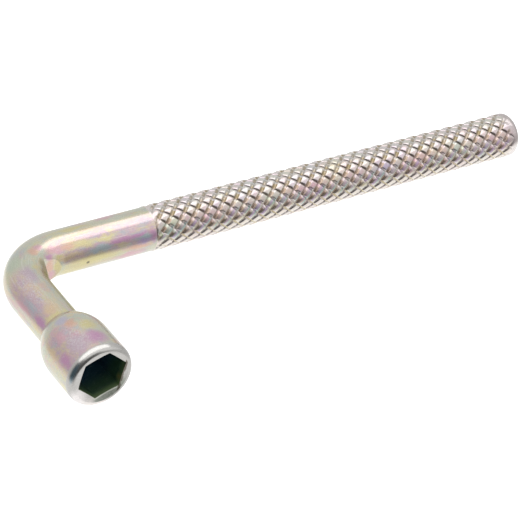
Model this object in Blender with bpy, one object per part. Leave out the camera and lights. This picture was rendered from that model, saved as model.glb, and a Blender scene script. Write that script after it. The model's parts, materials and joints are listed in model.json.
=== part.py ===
"""Hex socket wrench: a bent steel rod with a knurled handle at one end and a hex socket at the other.

The wrench lies on the ground as it would on a bench. Its handle runs along +X, and its arm runs
along -Y and rises a little, because the socket is thicker than the handle.
"""
import math

import bmesh
import bpy
from mathutils import Matrix, Vector

MM = 0.001

# The socket: what it turns, its walls and its mouth
NUT_ACROSS_FLATS = 8.0 * MM
NUT_CLEARANCE = 0.06 * MM
HEX_DEPTH = 9.0 * MM
HEX_TURN = math.radians(13.6)
LEAD_IN_WIDTH = 0.15 * MM
LEAD_IN_SLOPE = math.radians(32.0)
SOCKET_WALL = 1.42 * MM
SOCKET_FLOOR = 1.4 * MM
SOCKET_LENGTH = 13.4 * MM
SHOULDER_RADIUS = 9.0 * MM
NECK_LIP = 0.2 * MM
MOUTH_EDGE_RADIUS = 0.8 * MM

# The rod: its thickness, its bend, and the reach of the arm and of the plain part of the handle
ROD_DIAMETER = 8.0 * MM
BEND_RADIUS = 9.4 * MM
BEND_CORNER_RISE = 0.5 * MM
BEND_PRESS_GAP = 0.05 * MM
ARM_LENGTH = 33.5 * MM
PLAIN_LENGTH = 27.6 * MM

# The handle: its reach from the arm's axis, its knurl and its rounded end
HANDLE_LENGTH = 107.0 * MM
KNURL_RAISE = 0.12 * MM
KNURL_DEPTH = 0.42 * MM
KNURL_PITCH = 2.66 * MM
KNURL_STARTS = 10
KNURL_LAND_SHARE = 0.70
KNURL_RUN_OUT = 0.7 * MM
END_RIM_LENGTH = 0.8 * MM
END_ROUNDING = 1.4 * MM

# The turned ends of the rod, and how closely they fit
SPIGOT_DIAMETER = 5.6 * MM
TANG_DIAMETER = 4.8 * MM
TANG_LENGTH = 26.0 * MM
FIT_CLEARANCE = 0.15 * MM
SEAT_GAP = 0.3 * MM

# How finely round shapes are divided
ROUND_SIDES = 48
BEND_STEPS = 14
ARC_STEPS = 8

# Where the pieces meet, along the arm and out from an axis
HEX_CORNER_RADIUS = (NUT_ACROSS_FLATS + NUT_CLEARANCE) / 2 / math.cos(math.pi / 6)
SOCKET_RADIUS = HEX_CORNER_RADIUS + SOCKET_WALL
ROD_RADIUS = ROD_DIAMETER / 2
KNURL_RADIUS = ROD_RADIUS + KNURL_RAISE
NECK = ARM_LENGTH - SOCKET_LENGTH
HEX_FLOOR = ARM_LENGTH - HEX_DEPTH
SPIGOT_BORE_FLOOR = HEX_FLOOR - SOCKET_FLOOR


def quarter_arc(steps):
    """Pairs that run from (1, 0) to (0, 1) round a quarter of a circle."""
    angles = [math.pi / 2 * step / steps for step in range(steps + 1)]
    return [(math.cos(angle), math.sin(angle)) for angle in angles]


def steel(name, colour, roughness):
    """Plated steel, as bare metal."""
    material = bpy.data.materials.new(name)
    material.use_nodes = True
    shader = material.node_tree.nodes["Principled BSDF"]
    shader.inputs["Base Color"].default_value = (*colour, 1.0)
    shader.inputs["Metallic"].default_value = 1.0
    shader.inputs["Roughness"].default_value = roughness
    return material


def ring(bm, radius, along, sides):
    """A circle of vertices round the Z axis."""
    turns = [2 * math.pi * side / sides for side in range(sides)]
    return [bm.verts.new((radius * math.cos(a), radius * math.sin(a), along)) for a in turns]


def join_rings(bm, lower, upper):
    """A band of faces between two rings that start at the same side and may differ in their counts."""
    below, above = len(lower), len(upper)
    low = high = 0
    while low < below or high < above:
        first, second = lower[low % below], upper[high % above]
        next_low, next_high = lower[(low + 1) % below], upper[(high + 1) % above]
        if below == above:
            bm.faces.new((first, next_low, next_high, second))
            low += 1
            high += 1
        elif (low + 1) * above <= (high + 1) * below:
            bm.faces.new((first, next_low, second))
            low += 1
        else:
            bm.faces.new((first, next_high, second))
            high += 1


def turned(bm, outline, sides):
    """A turned solid round the Z axis; the outline holds (along, radius) pairs from end to end."""
    rings = [ring(bm, radius, along, sides) for along, radius in outline]
    for lower, upper in zip(rings, rings[1:]):
        join_rings(bm, lower, upper)
    bm.faces.new(rings[0])
    bm.faces.new(rings[-1])


def make_piece(name, bm, material, frame):
    """The finished piece: faces outward, shaded smooth with crisp edges, carried by the frame."""
    bmesh.ops.triangulate(bm, faces=[face for face in bm.faces if len(face.verts) > 4])
    bmesh.ops.recalc_face_normals(bm, faces=bm.faces)
    if bm.calc_volume(signed=True) < 0:
        bmesh.ops.reverse_faces(bm, faces=bm.faces)
    mesh = bpy.data.meshes.new(name)
    bm.to_mesh(mesh)
    bm.free()
    mesh.shade_smooth()
    mesh.set_sharp_from_angle(angle=math.radians(35))
    piece = bpy.data.objects.new(name, mesh)
    bpy.context.collection.objects.link(piece)
    piece.data.materials.append(material)
    piece.parent = frame
    return piece


def cut(piece, name, bm):
    """Cuts a closed shape, given in the piece's own axes, out of the piece."""
    cutter = make_piece(name, bm, piece.active_material, piece)
    cutter.hide_render = True
    cutter.display_type = "WIRE"
    modifier = piece.modifiers.new(name, "BOOLEAN")
    modifier.operation = "DIFFERENCE"
    modifier.solver = "EXACT"
    modifier.object = cutter


def shoulder_outline():
    """The domed back of the socket: a lip at the rod, then an arc out to the socket's full width."""
    lowest = ROD_RADIUS + NECK_LIP
    centre = SOCKET_RADIUS - SHOULDER_RADIUS
    sweep = math.acos((lowest - centre) / SHOULDER_RADIUS)
    full_width = NECK + SHOULDER_RADIUS * math.sin(sweep)
    outline = []
    for step in range(ARC_STEPS + 1):
        angle = sweep * (1 - step / ARC_STEPS)
        along = full_width - SHOULDER_RADIUS * math.sin(angle)
        outline.append((along, centre + SHOULDER_RADIUS * math.cos(angle)))
    return outline


def mouth_outline():
    """The rounded outer edge of the mouth."""
    edge = MOUTH_EDGE_RADIUS
    return [
        (ARM_LENGTH - edge * (1 - on), SOCKET_RADIUS - edge * (1 - out))
        for out, on in quarter_arc(ARC_STEPS)
    ]


def lying_tilt():
    """How far the arm rises when both the handle and the socket lie on the ground."""
    outline = shoulder_outline() + mouth_outline()

    def socket_bottom(tilt):
        return min(along * math.sin(tilt) - radius * math.cos(tilt) for along, radius in outline)

    low, high = 0.0, math.pi / 4
    for _ in range(50):
        middle = (low + high) / 2
        if socket_bottom(middle) < -KNURL_RADIUS:
            low = middle
        else:
            high = middle
    return high


def make_frame():
    """The point where the handle's axis meets the arm's, placed so that the wrench lies centred."""
    tilt = lying_tilt()
    edge = MOUTH_EDGE_RADIUS
    reach = (ARM_LENGTH - edge) * math.cos(tilt) + (SOCKET_RADIUS - edge) * math.sin(tilt) + edge
    frame = bpy.data.objects.new("wrench_frame", None)
    bpy.context.collection.objects.link(frame)
    frame.location = ((SOCKET_RADIUS - HANDLE_LENGTH) / 2, (reach - KNURL_RADIUS) / 2, KNURL_RADIUS)
    frame.rotation_euler = (-tilt, 0.0, 0.0)
    return frame


def make_socket_head(frame):
    """The socket: a turned cup with a domed back, a hex hole and a bore behind it for the rod."""
    bore_radius = SPIGOT_DIAMETER / 2 + FIT_CLEARANCE
    bore_outline = [(SPIGOT_BORE_FLOOR, bore_radius), (NECK, bore_radius)]
    bm = bmesh.new()
    turned(bm, bore_outline + shoulder_outline() + mouth_outline(), ROUND_SIDES)
    socket = make_piece("socket_head", bm, steel("plated_socket_steel", (0.60, 0.56, 0.47), 0.28), frame)
    socket.rotation_euler = (math.pi / 2, 0.0, 0.0)

    hex_hole = bmesh.new()
    past_mouth = ARM_LENGTH + MOUTH_EDGE_RADIUS
    corner_up = Matrix.Rotation(math.pi / 2 - HEX_TURN, 4, "Z")
    turned(hex_hole, [(HEX_FLOOR, HEX_CORNER_RADIUS), (past_mouth, HEX_CORNER_RADIUS)], 6)
    bmesh.ops.transform(hex_hole, matrix=corner_up, verts=hex_hole.verts)
    cut(socket, "hex_hole", hex_hole)

    lead_in = bmesh.new()
    wide = HEX_CORNER_RADIUS + LEAD_IN_WIDTH
    narrow = HEX_CORNER_RADIUS * math.cos(math.pi / 6) - LEAD_IN_WIDTH
    slope = math.tan(LEAD_IN_SLOPE)
    past_width = (past_mouth - ARM_LENGTH) / slope
    turned(lead_in, [(ARM_LENGTH - (wide - narrow) * slope, narrow), (past_mouth, wide + past_width)],
           ROUND_SIDES)
    cut(socket, "hex_lead_in", lead_in)
    return socket


def make_bent_shank(frame):
    """The rod: a spigot for the socket, the arm, a bend pressed square inside, and a tang."""
    spigot = SPIGOT_DIAMETER / 2
    tang = TANG_DIAMETER / 2
    spigot_end = SPIGOT_BORE_FLOOR - FIT_CLEARANCE
    shoulder = NECK - SEAT_GAP
    handle_start = PLAIN_LENGTH - SEAT_GAP
    stations = [(Vector((0.0, -along, 0.0)), 0.0, radius) for along, radius in
                ((spigot_end, spigot), (shoulder, spigot), (shoulder, ROD_RADIUS))]
    centre = Vector((BEND_RADIUS, -BEND_RADIUS, 0.0))
    for step in range(BEND_STEPS + 1):
        angle = math.pi / 2 * step / BEND_STEPS
        outward = Vector((-math.cos(angle), math.sin(angle), 0.0))
        stations.append((centre + BEND_RADIUS * outward, angle, ROD_RADIUS))
    stations += [(Vector((along, 0.0, 0.0)), math.pi / 2, radius) for along, radius in
                 ((handle_start, ROD_RADIUS), (handle_start, tang), (PLAIN_LENGTH + TANG_LENGTH, tang))]

    bm = bmesh.new()
    rings = []
    for place, angle, radius in stations:
        outward = Vector((-math.cos(angle), math.sin(angle), 0.0))
        turns = [2 * math.pi * side / ROUND_SIDES for side in range(ROUND_SIDES)]
        rings.append([
            bm.verts.new(place + radius * (math.cos(a) * outward + math.sin(a) * Vector((0, 0, 1))))
            for a in turns
        ])
    for lower, upper in zip(rings, rings[1:]):
        join_rings(bm, lower, upper)
    bm.faces.new(rings[0])
    bm.faces.new(rings[-1])
    shank = make_piece("bent_shank", bm, steel("plated_rod_steel", (0.55, 0.52, 0.44), 0.25), frame)

    press = bmesh.new()
    edge = ROD_RADIUS + BEND_PRESS_GAP
    corner = ROD_RADIUS + BEND_CORNER_RISE
    sides = ((corner, corner), (BEND_RADIUS, edge), (BEND_RADIUS, BEND_RADIUS), (edge, BEND_RADIUS))
    bottom = press.faces.new([press.verts.new((x, -y, -ROD_DIAMETER)) for x, y in sides])
    top = bmesh.ops.extrude_face_region(press, geom=[bottom])
    top_corners = [item for item in top["geom"] if isinstance(item, bmesh.types.BMVert)]
    bmesh.ops.translate(press, vec=(0.0, 0.0, 2 * ROD_DIAMETER), verts=top_corners)
    cut(shank, "bend_press", press)
    return shank


def knurl(bm, start, length):
    """Diamond lands between two crossing sets of spiral grooves; returns its first and last ring."""
    columns = 2 * KNURL_STARTS
    rows = round(2 * length / KNURL_PITCH)
    row_length = length / rows
    groove_radius = KNURL_RADIUS - KNURL_DEPTH

    def point(column, row, radius):
        angle = math.pi * column / KNURL_STARTS
        return bm.verts.new((radius * math.cos(angle), radius * math.sin(angle), start + row * row_length))

    floor = {}
    for row in range(rows + 1):
        for column in range(columns):
            if (row + column) % 2 == 0 or row in (0, rows):
                floor[column, row] = point(column, row, groove_radius)

    for row in range(1, rows):
        for column in range((row + 1) % 2, columns, 2):
            land = KNURL_LAND_SHARE
            corners = [floor[(column + 1) % columns, row], floor[column, row + 1],
                       floor[column - 1 if column else columns - 1, row], floor[column, row - 1]]
            top = [point(column + land, row, KNURL_RADIUS), point(column, row + land, KNURL_RADIUS),
                   point(column - land, row, KNURL_RADIUS), point(column, row - land, KNURL_RADIUS)]
            bm.faces.new((top[0], top[1], top[3]))
            bm.faces.new((top[1], top[2], top[3]))
            for side in range(4):
                after = (side + 1) % 4
                bm.faces.new((corners[side], corners[after], top[after]))
                bm.faces.new((corners[side], top[after], top[side]))

    for row, inward in ((0, 1), (rows, -1)):
        for column in range(columns):
            if (row + column) % 2 == 1:
                before, after = (column - 1) % columns, (column + 1) % columns
                tip = floor[column, row + inward]
                bm.faces.new((floor[before, row], floor[column, row], tip))
                bm.faces.new((floor[column, row], floor[after, row], tip))
    return [[floor[column, row] for column in range(columns)] for row in (0, rows)]


def make_knurled_handle(frame):
    """The handle: a knurled bar with a rounded end and a blind bore that the rod's tang fills."""
    bore_radius = TANG_DIAMETER / 2 + FIT_CLEARANCE
    bore_floor = PLAIN_LENGTH + TANG_LENGTH + FIT_CLEARANCE
    knurl_start = PLAIN_LENGTH + KNURL_RUN_OUT
    rim_end = HANDLE_LENGTH - END_ROUNDING
    knurl_end = rim_end - END_RIM_LENGTH - KNURL_RUN_OUT
    bm = bmesh.new()
    first, last = knurl(bm, knurl_start, knurl_end - knurl_start)

    sides = ROUND_SIDES
    front = [ring(bm, bore_radius, bore_floor, sides), ring(bm, bore_radius, PLAIN_LENGTH, sides),
             ring(bm, ROD_RADIUS, PLAIN_LENGTH, sides), first]
    back = [last, ring(bm, KNURL_RADIUS, knurl_end + KNURL_RUN_OUT, sides)]
    for on, out in quarter_arc(ARC_STEPS):
        radius = KNURL_RADIUS - END_ROUNDING * (1 - on)
        back.append(ring(bm, radius, rim_end + END_ROUNDING * out, sides))
    for rings in (front, back):
        for lower, upper in zip(rings, rings[1:]):
            join_rings(bm, lower, upper)
    bm.faces.new(front[0])
    bm.faces.new(back[-1])
    handle = make_piece("knurled_handle", bm, steel("plated_knurl_steel", (0.58, 0.53, 0.45), 0.30), frame)
    handle.rotation_euler = (0.0, math.pi / 2, 0.0)
    return handle


for leftover in list(bpy.data.objects):
    bpy.data.objects.remove(leftover, do_unlink=True)

wrench_frame = make_frame()
make_socket_head(wrench_frame)
make_bent_shank(wrench_frame)
make_knurled_handle(wrench_frame)
bpy.context.view_layer.update()
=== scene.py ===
import json
import math

import bmesh
import bpy
from mathutils import Matrix, Vector


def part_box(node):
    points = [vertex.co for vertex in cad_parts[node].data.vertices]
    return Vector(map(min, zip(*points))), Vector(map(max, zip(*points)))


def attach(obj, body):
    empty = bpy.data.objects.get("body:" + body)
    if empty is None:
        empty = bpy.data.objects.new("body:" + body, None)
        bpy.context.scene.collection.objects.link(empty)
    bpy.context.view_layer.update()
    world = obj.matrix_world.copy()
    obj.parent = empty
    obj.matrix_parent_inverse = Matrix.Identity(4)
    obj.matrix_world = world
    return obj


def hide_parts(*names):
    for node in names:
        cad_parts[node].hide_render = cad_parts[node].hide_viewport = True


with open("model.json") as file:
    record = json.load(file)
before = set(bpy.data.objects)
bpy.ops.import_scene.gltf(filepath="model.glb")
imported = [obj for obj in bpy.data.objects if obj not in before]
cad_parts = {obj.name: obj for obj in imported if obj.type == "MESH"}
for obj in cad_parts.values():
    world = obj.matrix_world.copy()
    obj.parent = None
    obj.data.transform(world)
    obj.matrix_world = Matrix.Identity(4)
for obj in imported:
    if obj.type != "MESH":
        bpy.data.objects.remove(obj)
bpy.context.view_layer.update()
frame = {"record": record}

# The bent rod: round steel bar, cold bent a quarter turn, with the inside of the bend pressed
# square by the bending die. The arm seats in the socket and the plain shank runs into the knurled
# handle. The zinc plating and its yellow passivation film came last, so the colours run in blotches.
MM = 0.001
mounts = {mount["name"]: mount for mount in frame["record"]["mounts"]}
arm_direction = Vector(mounts["socket_mouth"]["axis"])
handle_low, handle_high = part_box("knurled_handle")
handle_middle = (handle_low + handle_high) / 2
elbow = Vector((mounts["socket_floor"]["pos_m"][0], handle_middle.y, handle_middle.z))
ARM_RISE = math.asin(arm_direction.z)
wrench_axes = Matrix.Translation(elbow) @ Matrix.Rotation(-ARM_RISE, 4, "X")

ROD_RADIUS = elbow.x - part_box("bent_shank")[0].x
PLAIN_LENGTH = handle_low.x - elbow.x
ARM_LENGTH = (Vector(mounts["socket_mouth"]["pos_m"]) - elbow).dot(arm_direction)
SOCKET_LENGTH = 13.4 * MM
SOCKET_SEAT_DEPTH = 0.8 * MM
NECK = ARM_LENGTH - SOCKET_LENGTH
BEND_RADIUS = 9.4 * MM
ARM_STRAIGHT = NECK + SOCKET_SEAT_DEPTH - BEND_RADIUS
BEND_RUN = BEND_RADIUS * math.pi / 2
SHANK_STRAIGHT = PLAIN_LENGTH - BEND_RADIUS
BEND_CORNER_RISE = 0.5 * MM
PRESS_DIP = 3.90 * MM
SHANK_PRESS = 7.2 * MM
SHANK_PRESS_END = 8.5 * MM
SHANK_PRESS_RISE = 0.1 * MM
ARM_PRESS = 8.0 * MM
ARM_PRESS_END = 9.3 * MM
ROD_SIDES = 128
BEND_STEPS = 56
STRAIGHT_STEPS = 24
ROD_CREASE = 20


def band(bm, lower, upper):
    """Faces between two rings of as many vertices."""
    for side in range(len(lower)):
        after = (side + 1) % len(lower)
        bm.faces.new((lower[side], lower[after], upper[after], upper[side]))


def piece_from(name, bm, *materials):
    """A piece in the wrench's own axes: X along the handle, -Y along the arm, Z up."""
    bmesh.ops.recalc_face_normals(bm, faces=bm.faces)
    if bm.calc_volume(signed=True) < 0:
        bmesh.ops.reverse_faces(bm, faces=bm.faces)
    mesh = bpy.data.meshes.new(name)
    bm.to_mesh(mesh)
    bm.free()
    piece = bpy.data.objects.new(name, mesh)
    bpy.context.collection.objects.link(piece)
    for material in materials:
        mesh.materials.append(material)
    piece.matrix_world = wrench_axes
    return piece


def cut_out(piece, cutters):
    """Cuts closed shapes out of a piece and keeps the mesh that is left."""
    made = []
    for name, bm in cutters.items():
        cutter = piece_from(name, bm)
        modifier = piece.modifiers.new(name, "BOOLEAN")
        modifier.operation = "DIFFERENCE"
        modifier.solver = "EXACT"
        modifier.object = cutter
        made.append(cutter)
    bpy.context.view_layer.update()
    whole = piece.data
    seen = piece.evaluated_get(bpy.context.evaluated_depsgraph_get())
    piece.data = bpy.data.meshes.new_from_object(seen)
    piece.modifiers.clear()
    bpy.data.meshes.remove(whole)
    for cutter in made:
        bpy.data.objects.remove(cutter, do_unlink=True)


def set_down(piece, crease):
    """Shades a piece smooth, with edges over so many degrees left crisp, and puts it in its place."""
    piece.data.shade_smooth()
    piece.data.set_sharp_from_angle(angle=math.radians(crease))
    piece.data.transform(wrench_axes)
    piece.matrix_world = Matrix.Identity(4)


def add(tree, kind, inputs=(), **settings):
    """A shader node with its settings, and with values or links on its sockets."""
    made = tree.nodes.new(kind)
    for name, value in settings.items():
        setattr(made, name, value)
    for socket, value in dict(inputs).items():
        if isinstance(value, bpy.types.NodeSocket):
            tree.links.new(value, made.inputs[socket])
        else:
            made.inputs[socket].default_value = value
    return made


def maths(tree, operation, *values):
    """The result of a Math node."""
    return add(tree, "ShaderNodeMath", enumerate(values), operation=operation).outputs[0]


def both(tree, first, second):
    """The product of two shares: high only where both are high."""
    return maths(tree, "MULTIPLY", first, second)


def fade(tree, value, start, end, low=0.0, high=1.0):
    """Runs smoothly from low to high while the value goes from start to end."""
    limits = {"Value": value, "From Min": start, "From Max": end, "To Min": low, "To Max": high}
    return add(tree, "ShaderNodeMapRange", limits, interpolation_type="SMOOTHSTEP").outputs[0]


def blend(tree, share, first, second):
    """The colour that lies the given share of the way from the first to the second."""
    return add(tree, "ShaderNodeMix", {0: share, 6: first, 7: second}, data_type="RGBA").outputs[2]


def noise(tree, place, scale, detail=3.0, rough=0.55):
    """Even, cloudy noise from 0 to 1."""
    settings = {"Vector": place, "Scale": scale, "Detail": detail, "Roughness": rough}
    return add(tree, "ShaderNodeTexNoise", settings).outputs["Fac"]


def vector(tree, operation, *values):
    """The node that works on vectors, with its values."""
    return add(tree, "ShaderNodeVectorMath", enumerate(values), operation=operation)


def scaled(tree, place, factors):
    """A place stretched along its axes."""
    return vector(tree, "MULTIPLY", place, factors).outputs[0]


def moved(tree, place, shift):
    """A place moved by the same length along all its axes."""
    return vector(tree, "ADD", place, (shift,) * 3).outputs[0]


def from_point(tree, place, point):
    """A place measured from a point."""
    return vector(tree, "SUBTRACT", place, point).outputs[0]


def along_direction(tree, place, direction):
    """How far a place lies along a direction."""
    return vector(tree, "DOT_PRODUCT", place, direction).outputs["Value"]


FILM_TONES = (
    (0.00, (0.55, 0.58, 0.47)),
    (0.13, (0.62, 0.60, 0.46)),
    (0.24, (0.63, 0.55, 0.45)),
    (0.34, (0.63, 0.50, 0.45)),
    (0.44, (0.60, 0.45, 0.46)),
    (0.54, (0.55, 0.40, 0.46)),
    (0.64, (0.52, 0.43, 0.49)),
    (0.76, (0.49, 0.47, 0.54)),
    (0.88, (0.49, 0.53, 0.52)),
    (1.00, (0.55, 0.58, 0.47)),
)
STAIN_TONES = {
    "straw": (0.67, 0.60, 0.30, 1.0),
    "olive": (0.52, 0.50, 0.22, 1.0),
    "amber": (0.69, 0.53, 0.34, 1.0),
    "orange": (0.70, 0.44, 0.34, 1.0),
    "rose": (0.66, 0.40, 0.45, 1.0),
    "magenta": (0.56, 0.29, 0.48, 1.0),
    "mauve": (0.54, 0.42, 0.49, 1.0),
    "violet": (0.46, 0.36, 0.58, 1.0),
    "lilac": (0.52, 0.49, 0.60, 1.0),
    "teal": (0.42, 0.50, 0.53, 1.0),
    "sage": (0.52, 0.58, 0.45, 1.0),
}
FILM_SHEEN_FACE = Vector((-0.56, -0.57, 0.60))
FILM_SHEEN_EDGE = (0.54, 0.80)
GRAIN_STRETCH = 0.4
BLOTCH_SCALE = 0.35
BLOTCH_SHARE = 0.40
FLECK_SCALE = 1.6
FLECK_SHARE = 0.45
CLOUDS = (("rose", 0.55, 3.0), ("teal", 0.60, 17.0), ("amber", 0.50, 31.0), ("straw", 0.65, 47.0))
CLOUD_EDGE = (0.50, 0.70)


def film_colours(tree, thickness):
    """The colours that a thicker and thicker passivation film takes on zinc."""
    ramp = add(tree, "ShaderNodeValToRGB", {"Fac": thickness})
    stops = ramp.color_ramp.elements
    stops.remove(stops[-1])
    for share, colour in FILM_TONES:
        stop = stops.new(share) if share else stops[0]
        stop.color = (*colour, 1.0)
    return ramp.outputs["Color"]


def film_on(name, stretch=None, thin=0.05, thick=0.55, clouds=0.65, spread=1.0):
    """A new material and its film's colours, with soft clouds in it: the film's own tints, and a painted
    iridescent sheen that shifts with how squarely a surface faces one side of the wrench.
    """
    material = bpy.data.materials.new(name)
    material.use_nodes = True
    tree = material.node_tree
    coordinates = add(tree, "ShaderNodeTexCoord")
    own_axes = {"Vector": coordinates.outputs["Object"], "Location": elbow, "Rotation": (-ARM_RISE, 0, 0)}
    own_place = add(tree, "ShaderNodeMapping", own_axes, vector_type="TEXTURE").outputs[0]
    place = scaled(tree, own_place, (1 / MM,) * 3)
    grain = place
    if stretch:
        straight = add(tree, "ShaderNodeAttribute", attribute_name=stretch)
        grain = scaled(tree, straight.outputs["Vector"], (GRAIN_STRETCH / MM, 1 / MM, 1 / MM))
    # Painted iridescent sheen: the film's colour shifts with how squarely a surface faces one direction.
    sheen_facing = maths(tree, "ABSOLUTE", along_direction(tree, coordinates.outputs["Normal"], FILM_SHEEN_FACE))
    film = fade(tree, sheen_facing, *FILM_SHEEN_EDGE, thin, thick)
    blotches = maths(tree, "SUBTRACT", noise(tree, grain, BLOTCH_SCALE, 2.0), 0.5)
    flecks = maths(tree, "SUBTRACT", noise(tree, place, FLECK_SCALE, 4.0, 0.65), 0.5)
    film = maths(tree, "MULTIPLY_ADD", blotches, BLOTCH_SHARE, film)
    film = maths(tree, "MULTIPLY_ADD", flecks, FLECK_SHARE, film)
    colour = film_colours(tree, film)
    for tone, scale, shift in CLOUDS:
        cloud = noise(tree, moved(tree, grain, shift), scale / spread, 4.0, 0.65)
        colour = blend(tree, fade(tree, cloud, *CLOUD_EDGE, 0.0, clouds), colour, STAIN_TONES[tone])
    return material, tree, place, grain, colour


SPOT_EDGE = (1.35, 0.35)
STAIN_DRIFT = 1.4
STAIN_DRIFT_SCALE = 0.7
STAIN_SHARE = 0.9
FROST_SCALE = 3.5
FROST_EDGE = (0.46, 0.64)
FROST_SHARE = 0.55
FROST_TONE = (0.74, 0.73, 0.76, 1.0)


def spot(tree, place, middle, size, strength):
    """A soft spot round a point; sizes are half lengths along the wrench's axes, in mm."""
    reach = scaled(tree, from_point(tree, place, middle), tuple(1 / length for length in size))
    return fade(tree, vector(tree, "LENGTH", reach).outputs["Value"], *SPOT_EDGE, 0.0, strength)


def stained(tree, place, colour, stains):
    """The film's colours with stains where it dried thicker; each has a tone, a middle and a size."""
    drift = add(tree, "ShaderNodeTexNoise", {"Vector": place, "Scale": STAIN_DRIFT_SCALE, "Detail": 3.0})
    drift = from_point(tree, drift.outputs["Color"], (0.5, 0.5, 0.5))
    uneven = vector(tree, "MULTIPLY_ADD", drift, (STAIN_DRIFT,) * 3, place).outputs[0]
    for tone, middle, size in stains:
        colour = blend(tree, spot(tree, uneven, middle, size, STAIN_SHARE), colour, STAIN_TONES[tone])
    return colour


def frosted(tree, place, colour, middle, size):
    """The film's colours under fine pale scratches that lie round a point."""
    scratches = fade(tree, noise(tree, place, FROST_SCALE, 5.0, 0.7), *FROST_EDGE)
    frost = both(tree, scratches, spot(tree, place, middle, size, FROST_SHARE))
    return blend(tree, frost, colour, FROST_TONE)


SPECKLE_SCALE = 6.0
SPECKLE_EDGE = (0.35, 0.75)
SPECKLE_SHARE = 0.30
SPECKLE_TONE = (0.28, 0.26, 0.25, 1.0)
SCUFF_STRETCH = (0.5, 5.0, 5.0)
SCUFF_EDGE = (0.56, 0.72)
SCUFF_SHARE = 0.45
SCUFF_TONE = (0.80, 0.78, 0.76, 1.0)
ROUGH_EDGE = (0.2, 0.8)
ROUGH_LESS = 0.06
ROUGH_MORE = 0.10
RIPPLE_SCALE = 0.5
RIPPLE_HEIGHT = 6.0
SCUFF_HEIGHT = 0.5
SPECKLE_HEIGHT = 0.5
BUMP_STRENGTH = 0.35
BUMP_DISTANCE = 0.01 * MM


def plated(tree, place, grain, colour, rough=0.22, metal=1.0):
    """Lays the film's colours on zinc plating with fine speckle, rubbed streaks and a faint ripple."""
    speckle = noise(tree, place, SPECKLE_SCALE, 3.0, 0.7)
    colour = blend(tree, fade(tree, speckle, *SPECKLE_EDGE, 0.0, SPECKLE_SHARE), colour, SPECKLE_TONE)
    scuff = noise(tree, scaled(tree, grain, SCUFF_STRETCH), 1.0, 5.0, 0.65)
    colour = blend(tree, fade(tree, scuff, *SCUFF_EDGE, 0.0, SCUFF_SHARE), colour, SCUFF_TONE)

    roughness = fade(tree, speckle, *ROUGH_EDGE, rough - ROUGH_LESS, rough + ROUGH_MORE)
    ripple = noise(tree, grain, RIPPLE_SCALE, 1.0)
    height = maths(tree, "MULTIPLY_ADD", ripple, RIPPLE_HEIGHT, maths(tree, "MULTIPLY", scuff, SCUFF_HEIGHT))
    height = maths(tree, "MULTIPLY_ADD", speckle, SPECKLE_HEIGHT, height)
    relief = {"Height": height, "Strength": BUMP_STRENGTH, "Distance": BUMP_DISTANCE}
    bump = add(tree, "ShaderNodeBump", relief)

    shader = tree.nodes["Principled BSDF"]
    shader.inputs["Metallic"].default_value = metal
    shader.inputs["Coat Weight"].default_value = 0.5
    shader.inputs["Coat Roughness"].default_value = 0.12
    tree.links.new(colour, shader.inputs["Base Color"])
    tree.links.new(roughness, shader.inputs["Roughness"])
    tree.links.new(bump.outputs["Normal"], shader.inputs["Normal"])


def rod_station(along):
    """Where the rod's middle is, and which way its outer side faces, at a length from the arm's end."""
    turn = min(max((along - ARM_STRAIGHT) / BEND_RADIUS, 0.0), math.pi / 2)
    outward = Vector((-math.cos(turn), math.sin(turn), 0.0))
    middle = Vector((BEND_RADIUS, -BEND_RADIUS, 0.0)) + BEND_RADIUS * outward
    middle.y -= max(ARM_STRAIGHT - along, 0.0)
    middle.x += max(along - ARM_STRAIGHT - BEND_RUN, 0.0)
    return middle, outward


def straightened(point):
    """Where a point of the bent rod lay while the rod was still straight."""
    turn = math.atan2(point.y + BEND_RADIUS, BEND_RADIUS - point.x)
    if point.y < -BEND_RADIUS:
        return Vector((ARM_STRAIGHT + BEND_RADIUS + point.y, -point.x, point.z))
    if point.x > BEND_RADIUS:
        return Vector((ARM_STRAIGHT + BEND_RUN + point.x - BEND_RADIUS, point.y, point.z))
    reach = math.hypot(point.x - BEND_RADIUS, point.y + BEND_RADIUS)
    return Vector((ARM_STRAIGHT + BEND_RADIUS * turn, reach - BEND_RADIUS, point.z))


stations = [ARM_STRAIGHT * step / STRAIGHT_STEPS for step in range(STRAIGHT_STEPS)]
stations += [ARM_STRAIGHT + BEND_RUN * step / BEND_STEPS for step in range(BEND_STEPS)]
stations += [ARM_STRAIGHT + BEND_RUN + SHANK_STRAIGHT * step / STRAIGHT_STEPS
             for step in range(STRAIGHT_STEPS + 1)]
rod_turns = [2 * math.pi * side / ROD_SIDES for side in range(ROD_SIDES)]
upward = Vector((0, 0, 1))
rod_mesh = bmesh.new()
rod_rings = []
for along in stations:
    middle, outward = rod_station(along)
    rod_rings.append([
        rod_mesh.verts.new(middle + ROD_RADIUS * (math.cos(turn) * outward + math.sin(turn) * upward))
        for turn in rod_turns
    ])
for lower, upper in zip(rod_rings, rod_rings[1:]):
    band(rod_mesh, lower, upper)
rod_mesh.faces.new(rod_rings[0])
rod_mesh.faces.new(rod_rings[-1])

bend_press = bmesh.new()
corner = ROD_RADIUS + BEND_CORNER_RISE
press_outline = (
    (corner, corner),
    (SHANK_PRESS, PRESS_DIP),
    (SHANK_PRESS_END, ROD_RADIUS + SHANK_PRESS_RISE),
    (BEND_RADIUS, BEND_RADIUS),
    (ROD_RADIUS, ARM_PRESS_END),
    (PRESS_DIP, ARM_PRESS),
)
press_bottom = [bend_press.verts.new((x, -y, -2 * ROD_RADIUS)) for x, y in press_outline]
press_top = [bend_press.verts.new((x, -y, 2 * ROD_RADIUS)) for x, y in press_outline]
band(bend_press, press_bottom, press_top)
bend_press.faces.new(press_bottom)
bend_press.faces.new(press_top)

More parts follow.
